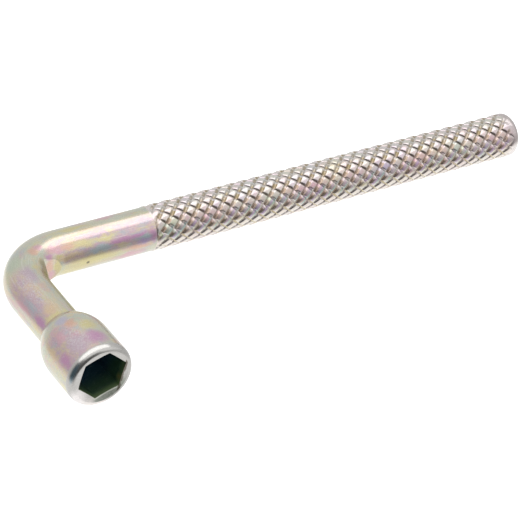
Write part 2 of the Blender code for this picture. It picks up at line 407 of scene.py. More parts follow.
ROD_STAINS = (
    ("straw", (12.5, -2.8, 2.9), (3.5, 0.8, 0.8)),
    ("straw", (17.5, -2.8, 2.8), (2.5, 0.6, 0.6)),
    ("rose", (7.6, -2.8, 3.1), (2.4, 0.8, 0.8)),
    ("orange", (10.2, -2.7, 2.9), (1.5, 0.6, 0.6)),
    ("olive", (8.2, -3.6, 1.9), (1.0, 0.6, 0.6)),
    ("magenta", (5.9, -3.9, 2.8), (1.0, 0.7, 0.7)),
    ("amber", (10.2, -3.7, 1.6), (3.0, 0.6, 0.6)),
    ("teal", (16.1, -3.7, 1.4), (2.8, 0.8, 0.8)),
    ("teal", (24.2, -3.5, 2.0), (2.0, 0.8, 0.8)),
    ("magenta", (20.2, -3.5, 1.9), (2.2, 0.6, 0.6)),
    ("magenta", (26.8, -3.7, 1.5), (0.9, 1.4, 1.4)),
    ("straw", (15.0, -4.0, -0.2), (6.0, 1.0, 1.1)),
    ("orange", (6.0, -4.2, 0.9), (1.1, 0.9, 1.9)),
    ("rose", (6.5, -4.1, -1.2), (0.8, 0.9, 1.2)),
    ("straw", (7.8, -4.0, 0.2), (0.7, 0.8, 1.6)),
    ("orange", (24.0, -4.0, 0.0), (2.6, 0.8, 0.8)),
    ("orange", (3.3, -2.7, 4.0), (1.3, 1.1, 1.0)),
    ("rose", (4.6, -2.0, 4.0), (1.0, 0.8, 0.8)),
    ("mauve", (-0.4, -8.2, 4.0), (1.3, 2.8, 1.1)),
    ("sage", (-1.0, -3.6, 3.2), (1.9, 2.8, 1.9)),
    ("magenta", (-3.5, -18.3, 1.9), (0.8, 1.8, 0.8)),
    ("rose", (-3.7, -13.0, 1.2), (0.7, 3.0, 0.7)),
    ("amber", (-1.6, -17.9, 3.6), (1.4, 1.4, 0.9)),
    ("straw", (-1.8, -19.8, 3.5), (2.2, 0.9, 1.3)),
    ("rose", (19.5, 1.6, 3.7), (2.2, 0.9, 0.9)),
    ("straw", (12.5, 0.5, 4.0), (3.0, 0.7, 0.8)),
    ("straw", (11.0, -3.6, -1.8), (4.5, 1.0, 1.3)),
    ("rose", (22.5, -3.6, -1.6), (3.5, 0.9, 1.0)),
    ("violet", (25.0, -3.8, 0.9), (1.6, 0.8, 0.8)),
    ("magenta", (23.5, -3.4, 2.1), (3.0, 0.5, 0.5)),
    ("teal", (25.4, -3.7, 1.45), (1.5, 0.5, 0.5)),
    ("sage", (2.3, -12.5, 3.2), (0.9, 5.0, 1.0)),
    ("olive", (2.4, -18.6, 3.0), (1.2, 1.6, 1.2)),
    ("straw", (-3.5, -16.0, -1.7), (0.8, 5.0, 0.9)),
)
PAINTED_BEND_SHADES = (
    ((3.8, -5.6, 3.0), (0.9, 1.3, 0.9), (0.36, 0.32, 0.17, 1.0)),
    ((2.9, -7.7, 2.7), (0.9, 1.5, 0.9), (0.36, 0.33, 0.17, 1.0)),
    ((3.5, -13.5, 2.0), (0.35, 7.0, 0.5), (0.24, 0.27, 0.22, 1.0)),
)
PAINTED_BEND_SHADE_SHARE = 0.85
PIT = (13.8, -4.0, -0.6)
PIT_SIZE = (0.35, 0.35, 0.30)
PIT_SHARE = 0.9
PIT_TONE = (0.10, 0.08, 0.05, 1.0)
FROST = (-1.6, -11.5, 3.4)
FROST_SIZE = (1.8, 6.0, 1.3)
rod_finish, rod_tree, rod_place, rod_grain, rod_colour = film_on("rod_plating", stretch="straightened")
rod_colour = stained(rod_tree, rod_place, rod_colour, ROD_STAINS)
# Painted shade: dark olive on the inside of the bend, and a painted dark reflection along the arm's right
# edge.
for middle, size, tone in PAINTED_BEND_SHADES:
    shade = spot(rod_tree, rod_place, middle, size, PAINTED_BEND_SHADE_SHARE)
    rod_colour = blend(rod_tree, shade, rod_colour, tone)
pit = spot(rod_tree, rod_place, PIT, PIT_SIZE, PIT_SHARE)
rod_colour = blend(rod_tree, pit, rod_colour, PIT_TONE)
rod_colour = frosted(rod_tree, rod_place, rod_colour, FROST, FROST_SIZE)
plated(rod_tree, rod_place, rod_grain, rod_colour)
bent_rod = piece_from("bent_rod", rod_mesh, rod_finish)
cut_out(bent_rod, {"bend_press": bend_press})
straight_places = bent_rod.data.attributes.new("straightened", "FLOAT_VECTOR", "POINT")
for vertex in bent_rod.data.vertices:
    straight_places.data[vertex.index].vector = straightened(vertex.co)
set_down(bent_rod, ROD_CREASE)
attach(bent_rod, "root")
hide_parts("bent_shank")

# The socket head: a turned steel cup with a domed back and a broached hexagon, pressed onto the arm
# before plating. Its mouth was faced and its rim polished. In the hole the colour is painted darker with
# depth as shade, with a painted glint near the mouth.
SOCKET_SHAVE = 0.004 * MM
SOCKET_RADIUS = (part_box("socket_head")[1].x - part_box("socket_head")[0].x) / 2 - SOCKET_SHAVE
HEX_FLOOR = (Vector(mounts["socket_floor"]["pos_m"]) - elbow).dot(arm_direction)
HEX_FLAT_RADIUS = 4.0 * MM
HEX_TURN = math.radians(12.0)
HEX_SHIFT = Vector((0.05, 0.0, 0.33)) * MM
LEAD_IN_RADIUS = 5.0 * MM
LEAD_IN_NARROW = 3.64 * MM
LEAD_IN_DEPTH = 0.25 * MM
SHOULDER_RADIUS = 9.0 * MM
NECK_LIP = 0.2 * MM
SEAT_CLEARANCE = 0.02 * MM
MOUTH_EDGE_WIDTH = 0.9 * MM
MOUTH_EDGE_LENGTH = 1.35 * MM
SOCKET_SIDES = 192
ARC_STEPS = 24
SOCKET_CREASE = 7


def turned(outline, sides, turn=0.0, shift=Vector()):
    """A closed solid turned round the arm's axis; the outline holds (along, radius) pairs."""
    bm = bmesh.new()
    rings = []
    for along, radius in outline:
        angles = [turn + 2 * math.pi * side / sides for side in range(sides)]
        rings.append([bm.verts.new(Vector((radius * math.cos(a), -along, radius * math.sin(a))) + shift)
                      for a in angles])
    for lower, upper in zip(rings, rings[1:]):
        band(bm, lower, upper)
    bm.faces.new(rings[0])
    bm.faces.new(rings[-1])
    return bm


dome_middle = SOCKET_RADIUS - SHOULDER_RADIUS
dome_sweep = math.acos((ROD_RADIUS + NECK_LIP - dome_middle) / SHOULDER_RADIUS)
seat_radius = ROD_RADIUS + SEAT_CLEARANCE
socket_outline = [(NECK + SOCKET_SEAT_DEPTH + SEAT_CLEARANCE, seat_radius), (NECK, seat_radius)]
for step in range(ARC_STEPS + 1):
    angle = dome_sweep * (1 - step / ARC_STEPS)
    along = NECK + SHOULDER_RADIUS * (math.sin(dome_sweep) - math.sin(angle))
    socket_outline.append((along, dome_middle + SHOULDER_RADIUS * math.cos(angle)))
for step in range(ARC_STEPS + 1):
    angle = math.pi / 2 * step / ARC_STEPS
    along = ARM_LENGTH - MOUTH_EDGE_LENGTH * (1 - math.sin(angle))
    socket_outline.append((along, SOCKET_RADIUS - MOUTH_EDGE_WIDTH * (1 - math.cos(angle))))

past_mouth = ARM_LENGTH + MOUTH_EDGE_LENGTH
hex_radius = HEX_FLAT_RADIUS / math.cos(math.pi / 6)
hex_hole = [(HEX_FLOOR, hex_radius), (past_mouth, hex_radius)]
lead_in = [
    (past_mouth, LEAD_IN_RADIUS),
    (ARM_LENGTH, LEAD_IN_RADIUS),
    (ARM_LENGTH - LEAD_IN_DEPTH, LEAD_IN_NARROW),
]

SOCKET_STAINS = (
    ("lilac", (-2.5, -23.0, 5.1), (1.4, 1.3, 1.0)),
    ("orange", (-1.8, -24.9, 5.8), (1.1, 1.3, 0.8)),
    ("straw", (0.6, -26.6, 6.1), (1.6, 1.4, 1.0)),
    ("rose", (-4.2, -26.2, 4.3), (0.9, 1.5, 0.9)),
    ("rose", (-2.4, -27.8, 5.6), (0.9, 0.9, 0.8)),
    ("magenta", (0.2, -29.9, 6.1), (2.4, 1.8, 1.0)),
    ("magenta", (-5.3, -30.3, 2.9), (0.9, 1.7, 1.1)),
    ("amber", (-5.7, -26.5, 2.0), (0.6, 2.0, 0.8)),
    ("straw", (-5.6, -31.2, -2.0), (0.8, 1.5, 1.2)),
    ("mauve", (-2.8, -29.6, 5.4), (2.2, 2.4, 1.4)),
)
SOCKET_FROST = (-2.4, -28.2, 5.4)
SOCKET_FROST_SIZE = (2.6, 3.4, 1.6)
RIM_EDGE = (1.6, 1.1)
SILVER = (0.51, 0.50, 0.48, 1.0)
RIM_PAINTED_REFLECTIONS = (
    ((-5.1, -33.05, 2.2), (1.2, 0.35, 2.2), (0.30, 0.52, 0.64, 1.0)),
    ((-4.4, -33.4, -3.4), (2.2, 0.6, 2.2), (0.97, 0.92, 0.91, 1.0)),
    ((-1.2, -33.4, -5.0), (3.0, 0.6, 1.6), (0.95, 0.89, 0.85, 1.0)),
)
RIM_REFLECTION_SHARE = 0.8
BORE_GLINT_AND_SHADE = (
    ((0.0, 0.3), (0.54, 0.72, 0.36, 1.0)),
    ((0.3, 1.8), (0.19, 0.36, 0.20, 1.0)),
    ((2.0, 6.0), (0.11, 0.22, 0.32, 1.0)),
)
BORE_GLINT = (3.95, -32.8, -1.6)
BORE_GLINT_SIZE = (0.5, 0.9, 0.8)
BORE_GLINT_SHARE = 0.85
BORE_GLINT_TONE = (0.78, 0.68, 0.26, 1.0)
BORE_ROUGH = 0.45
LEAD_SHADE_BELOW = (-0.5, -2.5)
LEAD_SHADE_RIGHT = (-1.8, -0.4)
LEAD_SHADE_TONE = (0.40, 0.43, 0.37, 1.0)
EDGE_GLINT_WIDTH = 0.30
EDGE_GLINT_TONE = (0.88, 0.92, 0.80, 1.0)
EDGE_REFLECTION_SCALE = 1.5
EDGE_REFLECTION_REACH = 0.8
EDGE_REFLECTION_FADE = 0.2
EDGE_REFLECTION_START = (0.3, 0.1)
EDGE_REFLECTION_SHARE = 0.9
EDGE_REFLECTION_TONE = (0.09, 0.07, 0.04, 1.0)


def parts(tree, place):
    """The X, Y and Z of a place."""
    return add(tree, "ShaderNodeSeparateXYZ", {0: place}).outputs


def mouth_depth(tree, place):
    """How far a place lies behind the socket's mouth, in mm."""
    return maths(tree, "ADD", parts(tree, place)["Y"], ARM_LENGTH / MM)


def socket_film(name):
    """The socket's film, which is rubbed off down to the bright zinc round the mouth, with painted
    reflections on the rim.
    """
    material, tree, place, grain, colour = film_on(name)
    colour = stained(tree, place, colour, SOCKET_STAINS)
    colour = frosted(tree, place, colour, SOCKET_FROST, SOCKET_FROST_SIZE)
    colour = blend(tree, fade(tree, mouth_depth(tree, place), *RIM_EDGE), colour, SILVER)
    # Painted reflections on the mouth: a dark teal band on the rim's upper left, and painted light on the
    # ring's lower left and bottom.
    for middle, size, tone in RIM_PAINTED_REFLECTIONS:
        colour = blend(tree, spot(tree, place, middle, size, RIM_REFLECTION_SHARE), colour, tone)
    return material, tree, place, grain, colour


socket_finish, socket_tree, socket_place, socket_grain, socket_colour = socket_film("socket_plating")
plated(socket_tree, socket_place, socket_grain, socket_colour)

socket_bore, bore_tree, bore_place, bore_grain, bore_colour = socket_film("socket_bore")
bore_depth = mouth_depth(bore_tree, bore_place)
# Painted glint and shade in the hole: greenish just inside the mouth, then darker and darker with depth.
for edge, tone in BORE_GLINT_AND_SHADE:
    bore_colour = blend(bore_tree, fade(bore_tree, bore_depth, *edge), bore_colour, tone)
# A painted yellow glint on the right wall near the mouth.
bore_glint = spot(bore_tree, bore_place, BORE_GLINT, BORE_GLINT_SIZE, BORE_GLINT_SHARE)
bore_colour = blend(bore_tree, bore_glint, bore_colour, BORE_GLINT_TONE)
plated(bore_tree, bore_place, bore_grain, bore_colour, BORE_ROUGH)

socket_lead_in, lead_tree, lead_place, lead_grain, lead_colour = socket_film("socket_lead_in")
lead_parts = parts(lead_tree, lead_place)
# Painted shade on the lower right of the lead-in.
lead_shade = both(lead_tree, fade(lead_tree, lead_parts["Z"], *LEAD_SHADE_BELOW),
                  fade(lead_tree, lead_parts["X"], *LEAD_SHADE_RIGHT))
lead_colour = blend(lead_tree, lead_shade, lead_colour, LEAD_SHADE_TONE)
from_hex = from_point(lead_tree, lead_place, HEX_SHIFT / MM)
flat = HEX_FLAT_RADIUS / MM
hex_reach = 0.0
for side in range(3):
    turn = math.pi / 3 * (side + 1) - HEX_TURN
    across = along_direction(lead_tree, from_hex, (math.cos(turn), 0.0, math.sin(turn)))
    hex_reach = maths(lead_tree, "MAXIMUM", hex_reach, maths(lead_tree, "ABSOLUTE", across))
# A painted highlight: a pale line along the hexagon's lower-right edge, inside the painted shade.
edge_glint = fade(lead_tree, hex_reach, flat + EDGE_GLINT_WIDTH, flat + EDGE_GLINT_WIDTH / 2)
lead_colour = blend(lead_tree, both(lead_tree, edge_glint, lead_shade), lead_colour, EDGE_GLINT_TONE)
# Painted dark reflection: dark flecks, broken up by noise, along the hexagon's right edge.
right_reach = along_direction(lead_tree, from_hex, (math.cos(HEX_TURN), 0.0, -math.sin(HEX_TURN)))
edge_reflection = maths(lead_tree, "MULTIPLY_ADD", noise(lead_tree, lead_place, EDGE_REFLECTION_SCALE), -EDGE_REFLECTION_REACH, right_reach)
edge_reflection = fade(lead_tree, edge_reflection, flat, flat - EDGE_REFLECTION_FADE, 0.0, EDGE_REFLECTION_SHARE)
edge_reflection = both(lead_tree, edge_reflection, fade(lead_tree, right_reach, flat - EDGE_REFLECTION_START[0], flat - EDGE_REFLECTION_START[1]))
lead_colour = blend(lead_tree, edge_reflection, lead_colour, EDGE_REFLECTION_TONE)
plated(lead_tree, lead_place, lead_grain, lead_colour)

BORE_WALL_SLOPE = 0.3
LEAD_IN_SLOPES = (0.9, 0.995)
socket_body = turned(socket_outline, SOCKET_SIDES)
socket_head = piece_from("socket", socket_body, socket_finish, socket_bore, socket_lead_in)
cut_out(socket_head, {
    "hex_hole": turned(hex_hole, 6, math.pi / 2 - HEX_TURN, HEX_SHIFT),
    "hex_lead_in": turned(lead_in, SOCKET_SIDES),
})
for face in socket_head.data.polygons:
    from_axis = math.hypot(face.center.x - HEX_SHIFT.x, face.center.z - HEX_SHIFT.z)
    along = -face.center.y
    slope = abs(face.normal.y)
    in_hole = from_axis < hex_radius and along > HEX_FLOOR - SEAT_CLEARANCE
    on_floor = from_axis < hex_radius and abs(along - HEX_FLOOR) < SEAT_CLEARANCE
    in_lead = from_axis < LEAD_IN_RADIUS and along > ARM_LENGTH - LEAD_IN_DEPTH
    if on_floor or (in_hole and slope < BORE_WALL_SLOPE):
        face.material_index = 1
    elif in_lead and LEAD_IN_SLOPES[0] < slope < LEAD_IN_SLOPES[1]:
        face.material_index = 2
set_down(socket_head, SOCKET_CREASE)
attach(socket_head, "root")
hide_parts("socket_head")

# The knurled handle: the rest of the same bar, rolled between two wheels that pressed in wide rising
# and narrow falling spiral grooves, with slightly domed pads between them. The end is rounded over.
# Brown residue of the plating bath dried in the grooves, laid on together with painted shade; the knurl's
# tones by row are painted light and shade, and the film's shimmer on the pads' sides is painted.
KNURL_RADIUS = (handle_high.z - handle_low.z) / 2
HANDLE_LENGTH = handle_high.x - elbow.x
RISING_DEPTH = 0.36 * MM
RISING_START = (0.0, 0.8 * MM)
RISING_SECTION = (
    (0.0, 1.0), (0.07, 0.96), (0.12, 0.74), (0.165, 0.44), (0.225, 0.20), (0.34, 0.05), (0.5, 0.0),
)
FALLING_DEPTH = 0.29 * MM
FALLING_START = (0.4 * MM, 2.2 * MM)
FALLING_SECTION = (
    (0.0, 1.0), (0.025, 0.93), (0.055, 0.66), (0.085, 0.39), (0.12, 0.17), (0.26, 0.04), (0.5, 0.0),
)
SADDLE = 0.45
KNURL_PITCH = 2.66 * MM
KNURL_STARTS = 10
KNURL_SPLITS = 12
KNURL_LEAD_ROWS = 4
KNURL_TURN = math.radians(4.0)
KNURL_RISE = 0.25 * MM
KNURL_CREASE = 60
RESIDUE_MIDDLE = 0.32
RESIDUE_REACH = 0.36
RESIDUE_WIDTH = 0.28
VIOLET_SIDE = 0.42
TEAL_SIDE = 0.66
SIDE_WIDTH = 0.20
PAD_MIX = (12.9898, 78.233)
PAD_SPREAD = 43758.5453
END_FLAT = 0.2 * MM
END_PLAIN = 1.3 * MM
END_FADE = 3.0 * MM
END_ROUNDING = 1.2 * MM
END_STEPS = 14


def smooth_step(value, start, end):
    """Runs smoothly from 0 to 1 while the value goes from start to end."""
    share = min(max((value - start) / (end - start), 0.0), 1.0)
    return share * share * (3 - 2 * share)


def across_land(index, section):
    """How far past its last groove a line of the mesh lies, in pitches, and how deep, in groove depths."""
    step = index % KNURL_SPLITS
    if step <= KNURL_SPLITS // 2:
        return section[step]
    share, drop = section[KNURL_SPLITS - step]
    return 1 - share, drop


def pad_tint(falling, rising):
    """An even spread of numbers from 0 to 1, one for each pad of the knurl."""
    mix = PAD_MIX[0] * (falling // KNURL_SPLITS) + PAD_MIX[1] * (rising // KNURL_SPLITS)
    return math.sin(mix) * PAD_SPREAD % 1.0


knurl_columns = KNURL_STARTS * KNURL_SPLITS
row_step = KNURL_PITCH / (2 * KNURL_SPLITS)
rim_start = HANDLE_LENGTH - END_FLAT
knurl_rows = int((rim_start - PLAIN_LENGTH) / row_step) - 1
handle_mesh = bmesh.new()
rising_groove = handle_mesh.verts.layers.float.new("rising_groove")
falling_groove = handle_mesh.verts.layers.float.new("falling_groove")
residue = handle_mesh.verts.layers.float.new("residue")
violet_side = handle_mesh.verts.layers.float.new("violet_side")
teal_side = handle_mesh.verts.layers.float.new("teal_side")
pad_number = handle_mesh.verts.layers.float.new("pad_number")


def end_radius(along):
    """How wide the handle may be at a length, with its end rounded over."""
    past = min(max(along - HANDLE_LENGTH + END_ROUNDING, 0.0), END_ROUNDING)
    return KNURL_RADIUS - END_ROUNDING + math.sqrt(END_ROUNDING ** 2 - past ** 2)


def handle_ring(along, radius, odd=0):
    """A ring of the handle with as many vertices as a row of the knurl."""
    turns = [KNURL_TURN + math.pi * (2 * side + odd) / knurl_columns for side in range(knurl_columns)]
    return [handle_mesh.verts.new((along, -radius * math.cos(a), radius * math.sin(a))) for a in turns]


knurl = []
for row in range(knurl_rows + 1):
    settle = smooth_step(min(row, knurl_rows - row), 0, KNURL_SPLITS)
    knurl.append([])
    for column in range(knurl_columns):
        place = 2 * column + row % 2
        falling = (row + KNURL_LEAD_ROWS + place) // 2
        rising = (row + KNURL_LEAD_ROWS - place) // 2
        fall_share, fall_drop = across_land(falling, FALLING_SECTION)
        rise_share, rise_drop = across_land(rising, RISING_SECTION)
        fall_shift = settle * (fall_share - falling % KNURL_SPLITS / KNURL_SPLITS)
        rise_shift = settle * (rise_share - rising % KNURL_SPLITS / KNURL_SPLITS)
        along = PLAIN_LENGTH + (row + 1) * row_step + KNURL_PITCH * (fall_shift + rise_shift) / 2
        turn = KNURL_TURN + math.pi * (place / KNURL_SPLITS + fall_shift - rise_shift) / KNURL_STARTS
        started = along - PLAIN_LENGTH
        ending = 1 - smooth_step(along, HANDLE_LENGTH - END_FADE, HANDLE_LENGTH - END_PLAIN)
        rise_depth = ending * smooth_step(started, *RISING_START) * rise_drop
        rise_depth *= 1 - SADDLE * smooth_step(min(fall_share, 1 - fall_share), 0.0, 0.5)
        fall_depth = ending * smooth_step(started, *FALLING_START) * fall_drop
        radius = KNURL_RADIUS - max(RISING_DEPTH * rise_depth, FALLING_DEPTH * fall_depth)
        radius = min(radius, end_radius(along))
        lift = smooth_step(started, 0.0, KNURL_RISE)
        radius = ROD_RADIUS + lift * (radius - ROD_RADIUS)
        vertex = handle_mesh.verts.new((along, -radius * math.cos(turn), radius * math.sin(turn)))
        vertex[rising_groove] = rise_depth
        vertex[falling_groove] = fall_depth
        from_middle = abs(fall_share - RESIDUE_MIDDLE) / RESIDUE_REACH
        from_groove = min(rise_share, 1 - rise_share) / RESIDUE_WIDTH
        vertex[residue] = ending * max(1 - max(from_middle, from_groove), 0.0)
        vertex[violet_side] = max(1 - abs(rise_share - VIOLET_SIDE) / SIDE_WIDTH, 0.0)
        vertex[teal_side] = max(1 - abs(rise_share - TEAL_SIDE) / SIDE_WIDTH, 0.0)
        vertex[pad_number] = pad_tint(falling, rising)
        knurl[row].append(vertex)

for row in range(1, knurl_rows):
    for column in range(knurl_columns):
        after = (column + 1) % knurl_columns
        tip = after if row % 2 else column
        corners = (knurl[row - 1][tip], knurl[row][after], knurl[row + 1][tip], knurl[row][column])
        handle_mesh.faces.new(corners)
for row, inward in ((0, 1), (knurl_rows, -1)):
    for column in range(knurl_columns):
        after = (column + 1) % knurl_columns
        tip = after if row % 2 else column
        handle_mesh.faces.new((knurl[row][column], knurl[row][after], knurl[row + inward][tip]))

start_ring = handle_ring(PLAIN_LENGTH, ROD_RADIUS)
band(handle_mesh, start_ring, knurl[0])
end_rings = [knurl[-1]]
last_row = PLAIN_LENGTH + (knurl_rows + 1) * row_step
for step in range(1, END_STEPS + 1):
    along = last_row + (HANDLE_LENGTH - last_row) * math.sin(math.pi / 2 * step / END_STEPS)
    end_rings.append(handle_ring(along, end_radius(along), knurl_rows % 2))
for lower, upper in zip(end_rings, end_rings[1:]):
    band(handle_mesh, lower, upper)
handle_mesh.faces.new(start_ring)
handle_mesh.faces.new(end_rings[-1])

KNURL_STAINS = (
    ("sage", (30.8, -3.4, 1.4), (3.2, 2.0, 2.6)),
    ("rose", (38.5, -3.4, 2.0), (3.0, 1.4, 1.6)),
    ("sage", (52.0, -3.2, 2.0), (2.2, 1.6, 2.2)),
    ("rose", (60.0, -3.3, 2.0), (3.5, 1.4, 1.8)),
    ("straw", (66.0, -1.0, 4.0), (2.2, 1.6, 0.9)),
    ("violet", (76.0, -3.3, 2.0), (3.0, 1.4, 1.8)),
    ("rose", (84.0, -3.0, 2.4), (3.0, 1.4, 1.8)),
    ("sage", (93.0, -3.0, 2.2), (3.4, 1.6, 2.2)),
    ("rose", (103.0, -3.2, 2.0), (3.5, 1.8, 2.2)),
    ("lilac", (106.8, 0.0, 0.0), (0.7, 5.5, 5.5)),
)
# Each tone with the share of it that is laid on.
KNURL_TONES = {
    "zinc": ((0.52, 0.60, 0.51, 1.0), 0.22),
    "mid_row_shade": ((0.40, 0.36, 0.37, 1.0), 0.28),
    "top_row_light": ((0.80, 0.77, 0.83, 1.0), 0.42),
    "pale": ((0.93, 0.88, 0.86, 1.0), 0.72),
    "mottle": ((0.56, 0.47, 0.44, 1.0), 0.35),
    "worn": ((0.76, 0.74, 0.72, 1.0), 0.25),
    "crack_dirt_and_shade": ((0.16, 0.12, 0.09, 1.0), 0.70),
    "groove_light": ((0.87, 0.79, 0.77, 1.0), 0.80),
    "dash_shade": ((0.10, 0.09, 0.08, 1.0), 0.70),
    "violet_side": ((0.46, 0.33, 0.54, 1.0), 0.80),
    "teal_side": ((0.36, 0.47, 0.45, 1.0), 0.80),
}
# Heights above the handle's axis, in mm, between which a tone sets in.
MID_SHADE_BELOW = (3.7, 2.7)
MID_SHADE_ABOVE = (0.4, 1.4)
TOP_LIGHT_ABOVE = (2.6, 3.6)
TABLE_LIGHT_BELOW = (0.8, -0.6)
CRACK_SHADE_ABOVE = (1.8, 2.8)
GROOVE_LIGHT_BELOW = (2.5, 1.9)
GROOVE_LIGHT_ABOVE = (0.0, 0.8)
DASH_SHADE_BELOW = (0.9, 0.2)
RESIDUE_ABOVE = (0.0, 0.8)
FURROW_BELOW = (0.6, -0.2)
GLEAM_BELOW = (2.6, 1.8)
GLEAM_ABOVE = (-0.6, 0.2)
END_TABLE_LIGHT_BELOW = (1.4, 0.2)
# The same towards the side that the arm is on.
TABLE_LIGHT_SIDE = (-0.5, -2.5)
CRACK_SHADE_SIDE = (1.2, 0.4)
END_TABLE_LIGHT_SIDE = (-1.5, -3.0)
# Groove depths, and amounts of residue, between which a tone sets in.
WORN_START = (0.0, 0.10)
WORN_STOP = (0.45, 0.15)
CRACK_SHADE_DEPTH = (0.10, 0.60)
GROOVE_LIGHT_DEPTH = (0.06, 0.35)
FURROW_DEPTH = (0.30, 0.70)
FURROW_SHARE = 0.70
DASH_SHADE_RESIDUE = (0.20, 0.50)
GRIME_SHADE_RESIDUE = (0.10, 0.30)
GRIME_AND_SHADE = (0.29, 0.22, 0.10, 1.0)
GRIME_ROW_LIGHT_AND_SHADE = (
    ((3.6, 2.6), (0.36, 0.25, 0.18, 1.0)),
    ((3.7, 4.0), (0.46, 0.44, 0.40, 1.0)),
    ((0.8, -0.2), (0.70, 0.60, 0.32, 1.0)),
)
PAD_SHARE = 0.40
KNURL_SATURATION = 2.0
MOTTLE_SCALE = 2.4
MOTTLE_EDGE = (0.42, 0.62)
PATCH_SCALE = 0.9
PATCH_EDGE = (0.30, 0.60)
PATCH_LEAST = 0.50
GLEAMS = (("violet_side", 5.0), ("teal_side", 23.0))
GLEAM_SIDE = (0.1, 0.7)
GLEAM_SCALE = 0.35
GLEAM_EDGE = (0.40, 0.60)
END_FILM = (3.2, 1.2)
END_FILM_SHARE = 0.85
END_TONE = (0.47, 0.42, 0.42, 1.0)
END_TABLE_LIGHT_TONE = (0.84, 0.79, 0.77, 1.0)
KNURL_ROUGH = 0.20
KNURL_METAL = 0.85
knurl_finish, knurl_tree, knurl_place, knurl_grain, knurl_colour = film_on(
    "knurl_plating", thin=0.08, thick=0.50, clouds=0.55, spread=4.0)
knurl_parts = parts(knurl_tree, knurl_place)


def rows(edge):
    """The rows of the knurl past an edge, which is a pair of heights."""
    return fade(knurl_tree, knurl_parts["Z"], *edge)


def sides(edge):
    """The side of the knurl past an edge, which is a pair of places along the arm."""
    return fade(knurl_tree, knurl_parts["Y"], *edge)


def mark(name):
    """A value that each vertex of the knurl holds."""
    return add(knurl_tree, "ShaderNodeAttribute", attribute_name=name).outputs["Fac"]


def toned(tone, *wheres):
    """The knurl's colours so far, with a tone laid on where all that is given is high."""
    colour, share = KNURL_TONES[tone]
    for where in wheres:
        share = both(knurl_tree, where, share)
    return blend(knurl_tree, share, knurl_colour, colour)


knurl_colour = stained(knurl_tree, knurl_place, knurl_colour, KNURL_STAINS)
knurl_colour = blend(knurl_tree, PAD_SHARE, knurl_colour, film_colours(knurl_tree, mark("pad_number")))
knurl_colour = toned("zinc")
# Painted shade: the middle rows of the knurl darker.
knurl_colour = toned("mid_row_shade", rows(MID_SHADE_BELOW), rows(MID_SHADE_ABOVE))
# Painted light: the top rows of the knurl paler, in lavender.
knurl_colour = toned("top_row_light", rows(TOP_LIGHT_ABOVE))
# Painted reflection of the white table: the lowest rows on the front side pale.
knurl_colour = toned("pale", rows(TABLE_LIGHT_BELOW), sides(TABLE_LIGHT_SIDE))
stronger = {"Color": knurl_colour, "Saturation": KNURL_SATURATION}
knurl_colour = add(knurl_tree, "ShaderNodeHueSaturation", stronger).outputs["Color"]
mottle = noise(knurl_tree, knurl_place, MOTTLE_SCALE, 3.0, 0.7)
knurl_colour = toned("mottle", fade(knurl_tree, mottle, *MOTTLE_EDGE))

falling_depth = mark("falling_groove")
deepest = maths(knurl_tree, "MAXIMUM", mark("rising_groove"), falling_depth)
residue_and_shade_mark = mark("residue")
knurl_colour = toned("worn", fade(knurl_tree, deepest, *WORN_START), fade(knurl_tree, deepest, *WORN_STOP))
# Dirt and painted shade: the falling grooves dark in the upper rows on the front side.
crack_dirt_and_shade = fade(knurl_tree, falling_depth, *CRACK_SHADE_DEPTH)
knurl_colour = toned("crack_dirt_and_shade", crack_dirt_and_shade, rows(CRACK_SHADE_ABOVE), sides(CRACK_SHADE_SIDE))
# Painted light: the falling grooves of the middle rows pale pink.
groove_light = fade(knurl_tree, falling_depth, *GROOVE_LIGHT_DEPTH)
knurl_colour = toned("groove_light", groove_light, rows(GROOVE_LIGHT_BELOW), rows(GROOVE_LIGHT_ABOVE))
# Painted shade: dark dashes in the lowest rows, where the groove walls face away from the light.
knurl_colour = toned("dash_shade", fade(knurl_tree, residue_and_shade_mark, *DASH_SHADE_RESIDUE), rows(DASH_SHADE_BELOW))

# Brown residue in the grooves with painted shade laid in with it; its tone changes by row as painted light
# and shade.
grime_and_shade = GRIME_AND_SHADE
for edge, tone in GRIME_ROW_LIGHT_AND_SHADE:
    grime_and_shade = blend(knurl_tree, rows(edge), grime_and_shade, tone)
patches = noise(knurl_tree, knurl_place, PATCH_SCALE)
patches = fade(knurl_tree, patches, *PATCH_EDGE, PATCH_LEAST, 1.0)
dried = both(knurl_tree, fade(knurl_tree, residue_and_shade_mark, *GRIME_SHADE_RESIDUE), rows(RESIDUE_ABOVE))
furrow = fade(knurl_tree, falling_depth, *FURROW_DEPTH, 0.0, FURROW_SHARE)
furrow = both(knurl_tree, furrow, rows(FURROW_BELOW))
dirt_and_shade = both(knurl_tree, patches, maths(knurl_tree, "MAXIMUM", dried, furrow))
knurl_colour = blend(knurl_tree, dirt_and_shade, knurl_colour, grime_and_shade)

# Painted sheen: violet and teal gleams on the pads' sides in the middle rows.
gleam_rows = both(knurl_tree, rows(GLEAM_BELOW), rows(GLEAM_ABOVE))
for side, shift in GLEAMS:
    gleam = noise(knurl_tree, moved(knurl_tree, knurl_place, shift), GLEAM_SCALE)
    gleam = fade(knurl_tree, gleam, *GLEAM_EDGE)
    knurl_colour = toned(side, fade(knurl_tree, mark(side), *GLEAM_SIDE), gleam, gleam_rows)

